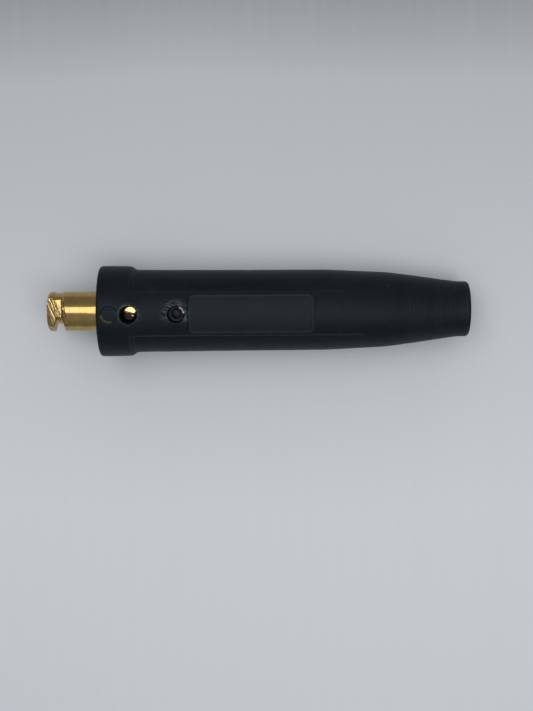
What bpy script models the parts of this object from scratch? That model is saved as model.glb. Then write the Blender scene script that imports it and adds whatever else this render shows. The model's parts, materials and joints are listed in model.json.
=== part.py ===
"""Male half of a twist-lock welding cable connector, lying on its side.

A one-piece moulded rubber sleeve covers a one-piece machined brass plug. The
plug's nose carries the cam slot that locks into the other half. Behind the
collar a slotted brass screw holds the sleeve to the plug, and a hex-socket
screw with a loose-turning shoe clamps the cable in the plug's rear socket.

The pieces are modelled along +X, nose towards -X and cable tail towards +X,
with X = 0 at the collar's front face and the two screws facing +Z. One empty
carries the whole connector and gives it the slight lean that it has when its
collar and its body both touch the ground.
"""

import math

import bmesh
import bpy
from mathutils import Matrix, Vector

MM = 0.001
SEGMENTS = 48
SCREW_SEGMENTS = 32
GAP = 0.3

# Brass plug, radii and stations in millimetres
PIN_RADIUS = 9.525
NOSE_TIP_X = -25.05
BARREL_FRONT_X = 22.0
BARREL_REAR_X = 60.0
BARREL_RADIUS = 14.2
SOCKET_RADIUS = 7.9
SOCKET_FLOOR_X = 29.3
SOCKET_CONE_X = 24.55

# Nose: entry flat, cam slot and the relief band round it
FLAT_HEIGHT = 6.57
FLAT_END_Y = -2.11
SLOT_FLOOR = 5.9
SLOT_FRONT_X = -21.4
SLOT_FRONT_START_X = -20.7
SLOT_REAR_START_X = -18.3
SLOT_REAR_X = -17.6
SLOT_RIM_REAR_X = -16.6
SLOT_START_DEG = -9.0
SLOT_END_DEG = 205.0
RELIEF_RADIUS = 9.05
RELIEF_FRONT_X = -21.8
RELIEF_REAR_X = -18.5

# Rubber sleeve
RECESS_RADIUS = 16.5
RECESS_DEPTH = 8.0
CAVITY_FRONT_X = 21.7
CAVITY_REAR_X = 62.4
ACCESS_RADIUS = 4.1
RETAINER_X = 15.05
CLAMP_X = 37.35
WITNESS_X = 6.15
WITNESS_Y = 0.5
PAD_FRONT_X = 43.35
PAD_REAR_X = 102.0
PAD_WIDTH = 18.2
PAD_CORNER = 2.4
PAD_CROWN_RADIUS = 20.0
PAD_TOP_RADIUS = 25.0

# Screws and shoe, heights above the connector's axis
RETAINER_HEAD_RADIUS = 3.5
RETAINER_HEAD_BOTTOM = 9.85
RETAINER_HEAD_TOP = 11.75
RETAINER_SHANK_RADIUS = 2.25
RETAINER_SHANK_BOTTOM = 3.4
RETAINER_SLOT_WIDTH = 1.3
RETAINER_SLOT_DEPTH = 1.2
RETAINER_SLOT_TURN = -14.0
CLAMP_THREAD_RADIUS = 4.6
CLAMP_TOP = 13.9
CLAMP_THREAD_BOTTOM = 4.9
CLAMP_NOSE_BOTTOM = 3.2
CLAMP_NOSE_RADIUS = 2.2
CLAMP_KEY_FLATS = 4.76
CLAMP_KEY_DEPTH = 4.4
SHOE_LENGTH = 13.0
SHOE_WIDTH = 10.0
SHOE_TOP = 4.6
SHOE_BOTTOM = 1.0
SHOE_HOLLOW_RADIUS = 7.0
SHOE_HOLLOW_TOP = 1.9

# Outside of the sleeve: (x, radius) from the collar's front face to the tail
SLEEVE_OUTSIDE = [
    (0.0, 20.75),
    (0.3, 21.35),
    (0.95, 21.72),
    (4.0, 21.86),
    (9.0, 21.76),
    (14.3, 21.58),
    (15.4, 21.38),
    (16.1, 21.0),
    (17.2, 20.16),
    (17.9, 19.98),
    (19.2, 19.9),
    (41.8, 19.68),
    (70.8, 19.5),
    (105.6, 19.4),
    (108.6, 19.36),
    (111.4, 19.27),
    (117.2, 18.99),
    (123.1, 18.67),
    (131.8, 18.29),
    (135.6, 18.08),
    (139.0, 17.78),
    (144.8, 17.05),
    (150.6, 16.31),
    (156.4, 15.48),
    (162.2, 14.62),
    (168.0, 13.83),
    (171.2, 13.38),
    (172.2, 13.32),
    (175.4, 13.3),
    (176.3, 13.08),
    (176.9, 12.6),
    (177.1, 12.1),
]

# Shallow rings scored round the taper where the tail is cut to suit a cable
CUT_RINGS = [147.0, 148.8, 150.6, 152.5, 154.4, 160.4, 162.0, 167.0, 169.0]
CUT_RING_WIDTH = 0.5
CUT_RING_DEPTH = 0.28

# Inside of the sleeve: (x, radius) from the tail back to the collar's face
SLEEVE_INSIDE = [
    (177.1, 11.2),
    (176.6, 10.7),
    (150.0, 10.85),
    (84.0, 11.4),
    (66.0, 14.1),
    (CAVITY_REAR_X, 14.5),
    (CAVITY_FRONT_X, 14.5),
    (CAVITY_FRONT_X, PIN_RADIUS + GAP),
    (RECESS_DEPTH, PIN_RADIUS + GAP),
    (RECESS_DEPTH, RECESS_RADIUS - 0.6),
    (RECESS_DEPTH - 0.6, RECESS_RADIUS),
    (0.7, RECESS_RADIUS),
    (0.0, RECESS_RADIUS + 0.6),
]


def clear_scene():
    for obj in list(bpy.data.objects):
        bpy.data.objects.remove(obj, do_unlink=True)


def make_material(name, colour, roughness, metallic):
    material = bpy.data.materials.new(name)
    material.use_nodes = True
    shader = next(n for n in material.node_tree.nodes if n.type == "BSDF_PRINCIPLED")
    shader.inputs["Base Color"].default_value = (*colour, 1.0)
    shader.inputs["Roughness"].default_value = roughness
    shader.inputs["Metallic"].default_value = metallic
    return material


def new_object(name, bm, parent, location=(0.0, 0.0, 0.0)):
    bmesh.ops.recalc_face_normals(bm, faces=bm.faces)
    mesh = bpy.data.meshes.new(name)
    bm.to_mesh(mesh)
    bm.free()
    obj = bpy.data.objects.new(name, mesh)
    bpy.context.scene.collection.objects.link(obj)
    obj.parent = parent
    obj.location = Vector(location) * MM
    return obj


def turned(outline, closed=True, segments=SEGMENTS, axis="X", facet_radius=False):
    """Body of revolution of a (station, radius) outline, in metres.

    A closed outline makes a ring-like body. An open one starts and ends on the
    axis. With facet_radius the flats, not the corners, lie at the radius.
    """
    bm = bmesh.new()
    grow = 1.0 / math.cos(math.pi / segments) if facet_radius else 1.0
    half = math.pi / segments
    verts = []
    for station, radius in outline:
        radius *= grow
        side, up = radius * math.sin(half), radius * math.cos(half)
        point = (station, side, up) if axis == "X" else (up, side, station)
        verts.append(bm.verts.new(Vector(point) * MM))
    count = len(verts)
    pairs = count if closed else count - 1
    edges = [bm.edges.new((verts[i], verts[(i + 1) % count])) for i in range(pairs)]
    turn_axis = (1.0, 0.0, 0.0) if axis == "X" else (0.0, 0.0, 1.0)
    bmesh.ops.spin(
        bm,
        geom=verts + edges,
        cent=(0.0, 0.0, 0.0),
        axis=turn_axis,
        dvec=(0.0, 0.0, 0.0),
        angle=2.0 * math.pi,
        steps=segments,
        use_merge=True,
        use_duplicate=False,
    )
    bmesh.ops.remove_doubles(bm, verts=bm.verts, dist=1e-6)
    return bm


def rod(radius, low, high, segments=SCREW_SEGMENTS):
    """Plain upright cylinder between two heights."""
    return turned(
        [(low, 0.0), (low, radius), (high, radius), (high, 0.0)],
        closed=False,
        segments=segments,
        axis="Z",
    )


def hull(points):
    """Convex body of a list of points in millimetres."""
    bm = bmesh.new()
    for point in points:
        bm.verts.new(Vector(point) * MM)
    bmesh.ops.convex_hull(bm, input=bm.verts)
    return bm


def slot_section(degrees):
    """Cam slot's (x, radius) section at an angle: the entry's flat first, then the round floor."""
    floor = SLOT_FLOOR if degrees > 18.0 else FLAT_HEIGHT / math.cos(math.radians(degrees))
    front = SLOT_FRONT_START_X + (SLOT_FRONT_X - SLOT_FRONT_START_X) * min(max((degrees - 25.0) / 55.0, 0.0), 1.0)
    rear = SLOT_REAR_START_X + (SLOT_REAR_X - SLOT_REAR_START_X) * min(max((degrees - 28.0) / 62.0, 0.0), 1.0)
    rise = (SLOT_RIM_REAR_X - rear) / (PIN_RADIUS - floor)
    return [
        (front, floor),
        (rear, floor),
        (rear + rise * (12.0 - floor), 12.0),
        (front - 0.15 * (12.0 - floor), 12.0),
    ]


def relief_section(degrees):
    """Shallow band behind the nose's front land, widening towards the top."""
    rear = RELIEF_REAR_X + 2.05 * min(max((degrees + 90.0) / 90.0, 0.0), 1.25)
    return [(RELIEF_FRONT_X, RELIEF_RADIUS), (rear, RELIEF_RADIUS), (rear + 3.2, 12.0), (RELIEF_FRONT_X - 0.6, 12.0)]


def swept(profile_at, angles):
    """Sweep about the X axis of an (x, radius) section, closed at both ends.

    Angles run from +Z towards -Y, and the section may change with the angle.
    """
    bm = bmesh.new()
    rows = []
    for degrees in angles:
        angle = math.radians(degrees)
        rows.append(
            [
                bm.verts.new(Vector((x, -r * math.sin(angle), r * math.cos(angle))) * MM)
                for x, r in profile_at(degrees)
            ]
        )
    count = len(rows[0])
    for near, far in zip(rows, rows[1:]):
        for k in range(count):
            n = (k + 1) % count
            bm.faces.new((near[k], near[n], far[n]))
            bm.faces.new((near[k], far[n], far[k]))
    bm.faces.new(rows[0])
    bm.faces.new(rows[-1])
    return bm


def rounded_rectangle(x0, x1, half_width, corner, steps=4):
    """Plan of a rounded rectangle as (x, y) points."""
    points = []
    for cx, cy, first in (
        (x1 - corner, half_width - corner, 0.0),
        (x0 + corner, half_width - corner, 90.0),
        (x0 + corner, -half_width + corner, 180.0),
        (x1 - corner, -half_width + corner, 270.0),
    ):
        for step in range(steps + 1):
            angle = math.radians(first + 90.0 * step / steps)
            points.append((cx + corner * math.cos(angle), cy + corner * math.sin(angle)))
    return points


def combine(target, other, operation):
    """Cuts or joins a helper body, which stays out of the finished object."""
    other.hide_render = True
    other.display_type = "WIRE"
    modifier = target.modifiers.new(other.name, "BOOLEAN")
    modifier.operation = operation
    modifier.solver = "EXACT"
    modifier.object = other


def scored_outside():
    """Outside outline with the shallow cut rings let into the taper."""
    stations = list(SLEEVE_OUTSIDE)

    def radius_at(x):
        for (x0, r0), (x1, r1) in zip(SLEEVE_OUTSIDE, SLEEVE_OUTSIDE[1:]):
            if x0 <= x <= x1:
                return r0 + (r1 - r0) * (x - x0) / (x1 - x0)
        return SLEEVE_OUTSIDE[-1][1]

    for x in CUT_RINGS:
        stations = [p for p in stations if abs(p[0] - x) > CUT_RING_WIDTH * 0.5 + 0.05]
        for offset, depth in (
            (-CUT_RING_WIDTH / 2, 0.0),
            (0.0, CUT_RING_DEPTH),
            (CUT_RING_WIDTH / 2, 0.0),
        ):
            stations.append((x + offset, radius_at(x + offset) - depth))
    return sorted(stations)


def resting_lean(outside):
    """Lean, in radians, at which collar and body touch the ground together."""
    collar = max((p for p in outside if p[0] < 20.0), key=lambda p: p[1])
    lean = 0.0
    for _ in range(20):
        body = max(
            (p for p in outside if p[0] > 60.0),
            key=lambda p: p[1] * math.cos(lean) + p[0] * math.sin(lean),
        )
        collar = max(
            (p for p in outside if p[0] < 20.0),
            key=lambda p: p[1] * math.cos(lean) + p[0] * math.sin(lean),
        )
        lean = math.atan2(collar[1] - body[1], body[0] - collar[0])
    return lean


def build_sleeve(parent, material):
    outside = scored_outside()
    grow = 1.0 / math.cos(math.pi / SEGMENTS)
    outline = [(x, r * grow) for x, r in outside] + SLEEVE_INSIDE
    sleeve = new_object("insulator_sleeve", turned(outline), parent)
    sleeve.data.materials.append(material)

    # Nameplate pad: a raised, flatter land with rounded corners
    plan = rounded_rectangle(PAD_FRONT_X, PAD_REAR_X, PAD_WIDTH / 2, PAD_CORNER)
    bm = bmesh.new()
    base = bm.faces.new([bm.verts.new(Vector((x, y, 16.8)) * MM) for x, y in plan])
    raised = bmesh.ops.extrude_face_region(bm, geom=[base])
    for vert in raised["geom"]:
        if isinstance(vert, bmesh.types.BMVert):
            vert.co.z = 22.0 * MM
    pad = new_object("pad_blank", bm, parent)
    pad_top = turned(
        [(PAD_FRONT_X - 8.0, 0.0), (PAD_FRONT_X - 8.0, PAD_TOP_RADIUS), (PAD_REAR_X + 8.0, PAD_TOP_RADIUS), (PAD_REAR_X + 8.0, 0.0)],
        closed=False,
        segments=96,
    )
    bmesh.ops.translate(
        pad_top, verts=pad_top.verts, vec=Vector((0.0, 0.0, PAD_CROWN_RADIUS - PAD_TOP_RADIUS)) * MM
    )
    crown = new_object("pad_crown", pad_top, parent)
    combine(pad, crown, "INTERSECT")
    combine(sleeve, pad, "UNION")

    # Tool access holes for the two screws
    for name, x in (("retainer_access", RETAINER_X), ("clamp_access", CLAMP_X)):
        hole = new_object(name, rod(ACCESS_RADIUS, 2.0, 30.0), parent, (x, 0.0, 0.0))
        combine(sleeve, hole, "DIFFERENCE")

    # Closed witness disc on the collar: a fine ring-shaped sink
    ring = turned(
        [(20.9, ACCESS_RADIUS - 0.4), (20.9, ACCESS_RADIUS), (24.0, ACCESS_RADIUS), (24.0, ACCESS_RADIUS - 0.4)],
        segments=SCREW_SEGMENTS,
        axis="Z",
    )
    combine(sleeve, new_object("witness_ring", ring, parent, (WITNESS_X, WITNESS_Y, 0.0)), "DIFFERENCE")
    return sleeve


def build_plug(parent, material):
    outline = [
        (NOSE_TIP_X, 0.0),
        (NOSE_TIP_X, 7.6),
        (NOSE_TIP_X + 0.2, 8.6),
        (NOSE_TIP_X + 0.8, 9.3),
        (NOSE_TIP_X + 1.6, PIN_RADIUS),
        (BARREL_FRONT_X, PIN_RADIUS),
        (BARREL_FRONT_X, BARREL_RADIUS - 0.6),
        (BARREL_FRONT_X + 0.6, BARREL_RADIUS),
        (BARREL_REAR_X - 0.6, BARREL_RADIUS),
        (BARREL_REAR_X, BARREL_RADIUS - 0.6),
        (BARREL_REAR_X, SOCKET_RADIUS + 0.8),
        (BARREL_REAR_X - 0.8, SOCKET_RADIUS),
        (SOCKET_FLOOR_X, SOCKET_RADIUS),
        (SOCKET_CONE_X, 0.0),
    ]
    plug = new_object("plug_body", turned(outline, closed=False), parent)
    plug.data.materials.append(material)

    # Relief band, then the cam slot round the lower half, with sloping walls
    relief = swept(relief_section, [-150.0 + 190.0 * k / 24 for k in range(25)])
    combine(plug, new_object("relief_band", relief, parent), "DIFFERENCE")
    slot_angles = [SLOT_START_DEG, -3.0, 3.0, 8.0, 13.0, 17.8, 20.96]
    slot_angles += [20.96 + (SLOT_END_DEG - 20.96) * k / 30 for k in range(1, 31)]
    combine(plug, new_object("cam_slot", swept(slot_section, slot_angles), parent), "DIFFERENCE")

    # Entry flat from the front face, its lower side a steep lead-in wall
    entry = hull(
        [
            (x + lean * rise, y, FLAT_HEIGHT + rise)
            for rise in (0.0, 4.7)
            for x, y, lean in (
                (-27.78, 13.68, -0.51),
                (-20.66, FLAT_END_Y, -0.51),
                (SLOT_REAR_START_X, FLAT_END_Y, 0.42),
                (SLOT_REAR_START_X - 0.25, 13.68, 0.42),
            )
        ]
    )
    combine(plug, new_object("entry_flat", entry, parent), "DIFFERENCE")

    # Facet along the top of the lead-in wall, and the lobe's outer slope
    facet = hull(
        [
            (x, y, 7.85 + 0.17 * (x + 21.2) + rise)
            for x in (-27.0, -20.8)
            for y in (-6.0, 7.6)
            for rise in (0.0, 3.0)
        ]
    )
    combine(plug, new_object("lobe_facet", facet, parent), "DIFFERENCE")
    across, along = Vector((-0.882, -0.470, 0.0)), Vector((0.470, -0.882, 0.085))
    start = Vector((-24.85, 0.1, 7.25))
    slope = hull(
        [
            start + along * u + across * v + Vector((0.0, 0.0, rise - 0.40 * v))
            for u in (-6.0, 8.4)
            for v in (-1.2, 9.0)
            for rise in (0.0, 6.0)
        ]
    )
    combine(plug, new_object("lobe_slope", slope, parent), "DIFFERENCE")

    # Tapped holes for the clamp screw and for the sleeve's retaining screw
    clamp_hole = rod(CLAMP_THREAD_RADIUS + GAP, 4.0, 20.0)
    combine(plug, new_object("clamp_hole", clamp_hole, parent, (CLAMP_X, 0.0, 0.0)), "DIFFERENCE")
    retainer_hole = rod(RETAINER_SHANK_RADIUS + GAP, RETAINER_SHANK_BOTTOM - 0.6, 20.0, 24)
    combine(plug, new_object("retainer_hole", retainer_hole, parent, (RETAINER_X, 0.0, 0.0)), "DIFFERENCE")
    return plug


def build_retainer(parent, material):
    outline = [
        (RETAINER_SHANK_BOTTOM, 0.0),
        (RETAINER_SHANK_BOTTOM, RETAINER_SHANK_RADIUS - 0.4),
        (RETAINER_SHANK_BOTTOM + 0.4, RETAINER_SHANK_RADIUS),
        (RETAINER_HEAD_BOTTOM, RETAINER_SHANK_RADIUS),
        (RETAINER_HEAD_BOTTOM, RETAINER_HEAD_RADIUS),
        (RETAINER_HEAD_TOP - 0.5, RETAINER_HEAD_RADIUS),
        (RETAINER_HEAD_TOP - 0.12, RETAINER_HEAD_RADIUS - 0.5),
        (RETAINER_HEAD_TOP, RETAINER_HEAD_RADIUS - 1.2),
        (RETAINER_HEAD_TOP, 0.0),
    ]
    screw = new_object(
        "retaining_screw", turned(outline, closed=False, segments=24, axis="Z"), parent, (RETAINER_X, 0.0, 0.0)
    )
    screw.data.materials.append(material)
    bm = bmesh.new()
    bmesh.ops.create_cube(bm, size=1.0)
    bmesh.ops.scale(bm, verts=bm.verts, vec=Vector((12.0, RETAINER_SLOT_WIDTH, 2.0 * RETAINER_SLOT_DEPTH)) * MM)
    bmesh.ops.rotate(
        bm, verts=bm.verts, cent=(0.0, 0.0, 0.0), matrix=Matrix.Rotation(math.radians(RETAINER_SLOT_TURN), 3, "Z")
    )
    slot = new_object("driver_slot", bm, parent, (RETAINER_X, 0.0, RETAINER_HEAD_TOP))
    combine(screw, slot, "DIFFERENCE")
    return screw


def build_clamp_screw(parent, material):
    outline = [
        (CLAMP_NOSE_BOTTOM, 0.0),
        (CLAMP_NOSE_BOTTOM, CLAMP_NOSE_RADIUS - 0.7),
        (CLAMP_NOSE_BOTTOM + 0.5, CLAMP_NOSE_RADIUS),
        (CLAMP_THREAD_BOTTOM, CLAMP_NOSE_RADIUS),
        (CLAMP_THREAD_BOTTOM, CLAMP_THREAD_RADIUS - 0.8),
        (CLAMP_THREAD_BOTTOM + 0.8, CLAMP_THREAD_RADIUS),
        (CLAMP_TOP - 0.6, CLAMP_THREAD_RADIUS),
        (CLAMP_TOP, CLAMP_THREAD_RADIUS - 0.6),
        (CLAMP_TOP, 0.0),
    ]
    screw = new_object("clamp_screw", turned(outline, closed=False, segments=SCREW_SEGMENTS, axis="Z"), parent, (CLAMP_X, 0.0, 0.0))
    screw.data.materials.append(material)
    corner = CLAMP_KEY_FLATS / 2 / math.cos(math.pi / 6)
    key = turned(
        [
            (CLAMP_TOP - CLAMP_KEY_DEPTH - 1.2, 0.0),
            (CLAMP_TOP - CLAMP_KEY_DEPTH, corner),
            (CLAMP_TOP + 2.0, corner),
            (CLAMP_TOP + 2.0, 0.0),
        ],
        closed=False,
        segments=6,
        axis="Z",
    )
    combine(screw, new_object("key_socket", key, parent, (CLAMP_X, 0.0, 0.0)), "DIFFERENCE")
    return screw


def build_shoe(parent, material):
    bm = bmesh.new()
    bmesh.ops.create_cube(bm, size=1.0)
    bmesh.ops.scale(bm, verts=bm.verts, vec=Vector((SHOE_LENGTH, SHOE_WIDTH, SHOE_TOP - SHOE_BOTTOM)) * MM)
    bmesh.ops.translate(bm, verts=bm.verts, vec=Vector((0.0, 0.0, (SHOE_TOP + SHOE_BOTTOM) / 2)) * MM)
    upright = [
        e for e in bm.edges if abs((e.verts[0].co - e.verts[1].co).normalized().x) > 0.9 and e.verts[0].co.z > 3.0 * MM
    ]
    bmesh.ops.bevel(bm, geom=upright, offset=1.2 * MM, segments=3, profile=0.5, affect="EDGES")
    shoe = new_object("clamp_shoe", bm, parent, (CLAMP_X, 0.0, 0.0))
    shoe.data.materials.append(material)
    hollow = turned(
        [(-12.0, 0.0), (-12.0, SHOE_HOLLOW_RADIUS), (12.0, SHOE_HOLLOW_RADIUS), (12.0, 0.0)], closed=False
    )
    bmesh.ops.translate(hollow, verts=hollow.verts, vec=Vector((0.0, 0.0, SHOE_HOLLOW_TOP - SHOE_HOLLOW_RADIUS)) * MM)
    combine(shoe, new_object("shoe_hollow", hollow, parent, (CLAMP_X, 0.0, 0.0)), "DIFFERENCE")
    pocket = rod(CLAMP_NOSE_RADIUS + GAP, CLAMP_NOSE_BOTTOM - GAP, 8.0, 24)
    combine(shoe, new_object("shoe_pocket", pocket, parent, (CLAMP_X, 0.0, 0.0)), "DIFFERENCE")
    return shoe


def settle(frame, nodes, lean):
    """Leans the connector, then sets its footprint's centre over the origin."""
    frame.rotation_euler = (0.0, lean, 0.0)
    bpy.context.view_layer.update()
    graph = bpy.context.evaluated_depsgraph_get()
    low = Vector((1e9, 1e9, 1e9))
    high = -low
    for node in nodes:
        evaluated = node.evaluated_get(graph)
        mesh = evaluated.to_mesh()
        for vert in mesh.vertices:
            point = evaluated.matrix_world @ vert.co
            low = Vector(map(min, low, point))
            high = Vector(map(max, high, point))
        evaluated.to_mesh_clear()
    frame.location = (-(low.x + high.x) / 2, -(low.y + high.y) / 2, -low.z)
    bpy.context.view_layer.update()


def main():
    clear_scene()
    rubber = make_material("black_rubber", (0.0135, 0.0155, 0.0165), 0.55, 0.0)
    brass = make_material("machined_brass", (0.72, 0.47, 0.16), 0.28, 1.0)
    screw_brass = make_material("screw_brass", (0.76, 0.53, 0.22), 0.3, 1.0)
    black_steel = make_material("black_oxide_steel", (0.03, 0.031, 0.033), 0.38, 0.8)
    copper = make_material("copper", (0.72, 0.33, 0.18), 0.35, 1.0)

    frame = bpy.data.objects.new("connector_frame", None)
    bpy.context.scene.collection.objects.link(frame)

    nodes = [
        build_sleeve(frame, rubber),
        build_plug(frame, brass),
        build_retainer(frame, screw_brass),
        build_clamp_screw(frame, black_steel),
        build_shoe(frame, copper),
    ]
    for node in nodes:
        for polygon in node.data.polygons:
            polygon.use_smooth = True
        node.data.set_sharp_from_angle(angle=math.radians(32.0))
    settle(frame, nodes, resting_lean(SLEEVE_OUTSIDE))


main()
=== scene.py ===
import json
import math

import bmesh
import bpy
import numpy as np
from mathutils import Matrix, Vector


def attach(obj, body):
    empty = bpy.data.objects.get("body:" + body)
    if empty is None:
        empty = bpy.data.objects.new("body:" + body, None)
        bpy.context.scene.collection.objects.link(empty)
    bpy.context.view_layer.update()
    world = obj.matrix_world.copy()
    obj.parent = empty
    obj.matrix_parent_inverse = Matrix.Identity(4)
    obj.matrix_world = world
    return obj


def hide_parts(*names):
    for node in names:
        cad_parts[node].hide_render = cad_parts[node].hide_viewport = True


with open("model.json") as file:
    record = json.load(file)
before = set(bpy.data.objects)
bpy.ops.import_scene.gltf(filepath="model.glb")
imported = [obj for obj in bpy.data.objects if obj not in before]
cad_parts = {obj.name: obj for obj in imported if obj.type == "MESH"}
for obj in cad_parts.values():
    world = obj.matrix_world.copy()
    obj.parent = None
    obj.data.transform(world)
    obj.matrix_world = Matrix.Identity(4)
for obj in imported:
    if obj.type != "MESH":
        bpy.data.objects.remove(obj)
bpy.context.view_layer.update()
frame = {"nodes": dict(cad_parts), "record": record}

MM = 0.001

# ---------------------------------------------------------------------------
# Connector coordinates: +X from the nose to the tail with X = 0 at the
# collar's front face, +Z the way the two screws face, in millimetres.
# ---------------------------------------------------------------------------
mounts = {m["name"]: m for m in frame["record"]["mounts"]}
AXIS_X = -Vector(mounts["nose_face"]["axis"]).normalized()
AXIS_Y = Vector((0.0, 1.0, 0.0))
AXIS_Z = AXIS_X.cross(AXIS_Y).normalized()
ORIGIN = Vector(mounts["nose_face"]["pos_m"]) + AXIS_X * 25.05 * MM
TO_WORLD = Matrix.Translation(ORIGIN) @ Matrix(
    [
        [AXIS_X.x, AXIS_Y.x, AXIS_Z.x],
        [AXIS_X.y, AXIS_Y.y, AXIS_Z.y],
        [AXIS_X.z, AXIS_Y.z, AXIS_Z.z],
    ]
).to_4x4()


def placed(name, mesh, materials):
    """New object of a mesh in connector coordinates (metres)."""
    obj = bpy.data.objects.new(name, mesh)
    bpy.context.scene.collection.objects.link(obj)
    obj.matrix_world = TO_WORLD
    for material in materials:
        mesh.materials.append(material)
    return obj


# ---------------------------------------------------------------------------
# Small maths helpers
# ---------------------------------------------------------------------------
def smooth(edge0, edge1, value):
    t = np.clip((value - edge0) / (edge1 - edge0), 0.0, 1.0)
    return t * t * (3.0 - 2.0 * t)


def bell(value, width):
    return np.exp(-((value / width) ** 2))


def monotone(points):
    """Monotone cubic through (x, y) points, as a function."""
    px = np.array([p[0] for p in points], float)
    py = np.array([p[1] for p in points], float)
    h = np.diff(px)
    slope = np.diff(py) / h
    m = np.zeros_like(px)
    m[0], m[-1] = slope[0], slope[-1]
    for i in range(1, len(px) - 1):
        if slope[i - 1] * slope[i] > 0:
            w1 = 2 * h[i] + h[i - 1]
            w2 = h[i] + 2 * h[i - 1]
            m[i] = (w1 + w2) / (w1 / slope[i - 1] + w2 / slope[i])

    def at(x):
        x = np.clip(x, px[0], px[-1])
        i = np.clip(np.searchsorted(px, x, side="right") - 1, 0, len(px) - 2)
        t = (x - px[i]) / h[i]
        h00 = (1 + 2 * t) * (1 - t) ** 2
        h10 = t * (1 - t) ** 2
        h01 = t * t * (3 - 2 * t)
        h11 = t * t * (t - 1)
        return h00 * py[i] + h10 * h[i] * m[i] + h01 * py[i + 1] + h11 * h[i] * m[i + 1]

    return at


def ripple(x, a, seed, count=9, low=1.0, high=6.0):
    """Smooth pseudo-random value about -1..1 over (x in mm, angle a)."""
    rng = np.random.RandomState(seed)
    total = np.zeros_like(x)
    for _ in range(count):
        fx = rng.uniform(-1, 1) * rng.uniform(low, high) * 0.05
        fa = rng.randint(0, int(high) + 1)
        total += np.sin(fx * x * 2 * math.pi + fa * a + rng.uniform(0, 2 * math.pi))
    return total / math.sqrt(count) / 1.4


# ---------------------------------------------------------------------------
# Material helpers
# ---------------------------------------------------------------------------
class Nodes:
    def __init__(self, name):
        self.material = bpy.data.materials.new(name)
        self.material.use_nodes = True
        self.tree = self.material.node_tree
        self.tree.nodes.clear()
        self.out = self.tree.nodes.new("ShaderNodeOutputMaterial")
        self.shader = self.tree.nodes.new("ShaderNodeBsdfPrincipled")
        self.tree.links.new(self.shader.outputs["BSDF"], self.out.inputs["Surface"])

    def node(self, kind, **values):
        made = self.tree.nodes.new(kind)
        for key, value in values.items():
            setattr(made, key, value)
        return made

    def link(self, source, target):
        self.tree.links.new(source, target)

    def coords(self, scale=(1.0, 1.0, 1.0), rotation=(0.0, 0.0, 0.0)):
        """Connector coordinates in metres, turned and scaled."""
        if not hasattr(self, "local"):
            texcoord = self.node("ShaderNodeTexCoord")
            self.local = self.node("ShaderNodeMapping", vector_type="TEXTURE")
            self.local.inputs["Location"].default_value = ORIGIN
            self.local.inputs["Rotation"].default_value = TO_WORLD.to_euler()
            self.link(texcoord.outputs["Object"], self.local.inputs["Vector"])
        vector = self.local.outputs["Vector"]
        for socket, value, neutral in (("Rotation", rotation, (0.0, 0.0, 0.0)), ("Scale", scale, (1.0, 1.0, 1.0))):
            if value != neutral:
                mapping = self.node("ShaderNodeMapping")
                mapping.inputs[socket].default_value = value
                self.link(vector, mapping.inputs["Vector"])
                vector = mapping.outputs["Vector"]
        return vector

    def noise(self, vector, scale, detail=3.0, roughness=0.5):
        made = self.node("ShaderNodeTexNoise")
        made.inputs["Scale"].default_value = scale
        made.inputs["Detail"].default_value = detail
        made.inputs["Roughness"].default_value = roughness
        self.link(vector, made.inputs["Vector"])
        return made.outputs["Fac"]

    def ramp(self, value, *stops):
        made = self.node("ShaderNodeValToRGB")
        elements = made.color_ramp.elements
        while len(elements) > 1:
            elements.remove(elements[-1])
        elements[0].position, elements[0].color = stops[0][0], self.rgba(stops[0][1])
        for position, colour in stops[1:]:
            element = elements.new(position)
            element.color = self.rgba(colour)
        self.link(value, made.inputs["Fac"])
        return made.outputs["Color"]

    @staticmethod
    def rgba(colour):
        if isinstance(colour, (int, float)):
            return (colour, colour, colour, 1.0)
        return (*colour, 1.0)

    def math(self, operation, a, b=None, c=None):
        made = self.node("ShaderNodeMath", operation=operation)
        for index, value in enumerate((a, b, c)):
            if value is None:
                continue
            if isinstance(value, (int, float)):
                made.inputs[index].default_value = value
            else:
                self.link(value, made.inputs[index])
        return made.outputs["Value"]

    def mix(self, factor, a, b, blend="MIX"):
        made = self.node("ShaderNodeMix", data_type="RGBA", blend_type=blend)
        if isinstance(factor, (int, float)):
            made.inputs["Factor"].default_value = factor
        else:
            self.link(factor, made.inputs["Factor"])
        for socket, value in ((made.inputs[6], a), (made.inputs[7], b)):
            if isinstance(value, tuple):
                socket.default_value = self.rgba(value)
            else:
                self.link(value, socket)
        return made.outputs[2]

    def attribute(self, name):
        made = self.node("ShaderNodeAttribute", attribute_name=name)
        return made.outputs["Fac"]

    def bump(self, height, distance, strength=1.0, normal=None):
        made = self.node("ShaderNodeBump")
        made.inputs["Strength"].default_value = strength
        made.inputs["Distance"].default_value = distance
        self.link(height, made.inputs["Height"])
        if normal is not None:
            self.link(normal, made.inputs["Normal"])
        return made.outputs["Normal"]

    def set(self, **values):
        for key, value in values.items():
            socket = self.shader.inputs[key.replace("_", " ")]
            if isinstance(value, (int, float)):
                socket.default_value = value
            elif isinstance(value, tuple):
                socket.default_value = self.rgba(value)
            else:
                self.link(value, socket)


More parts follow.
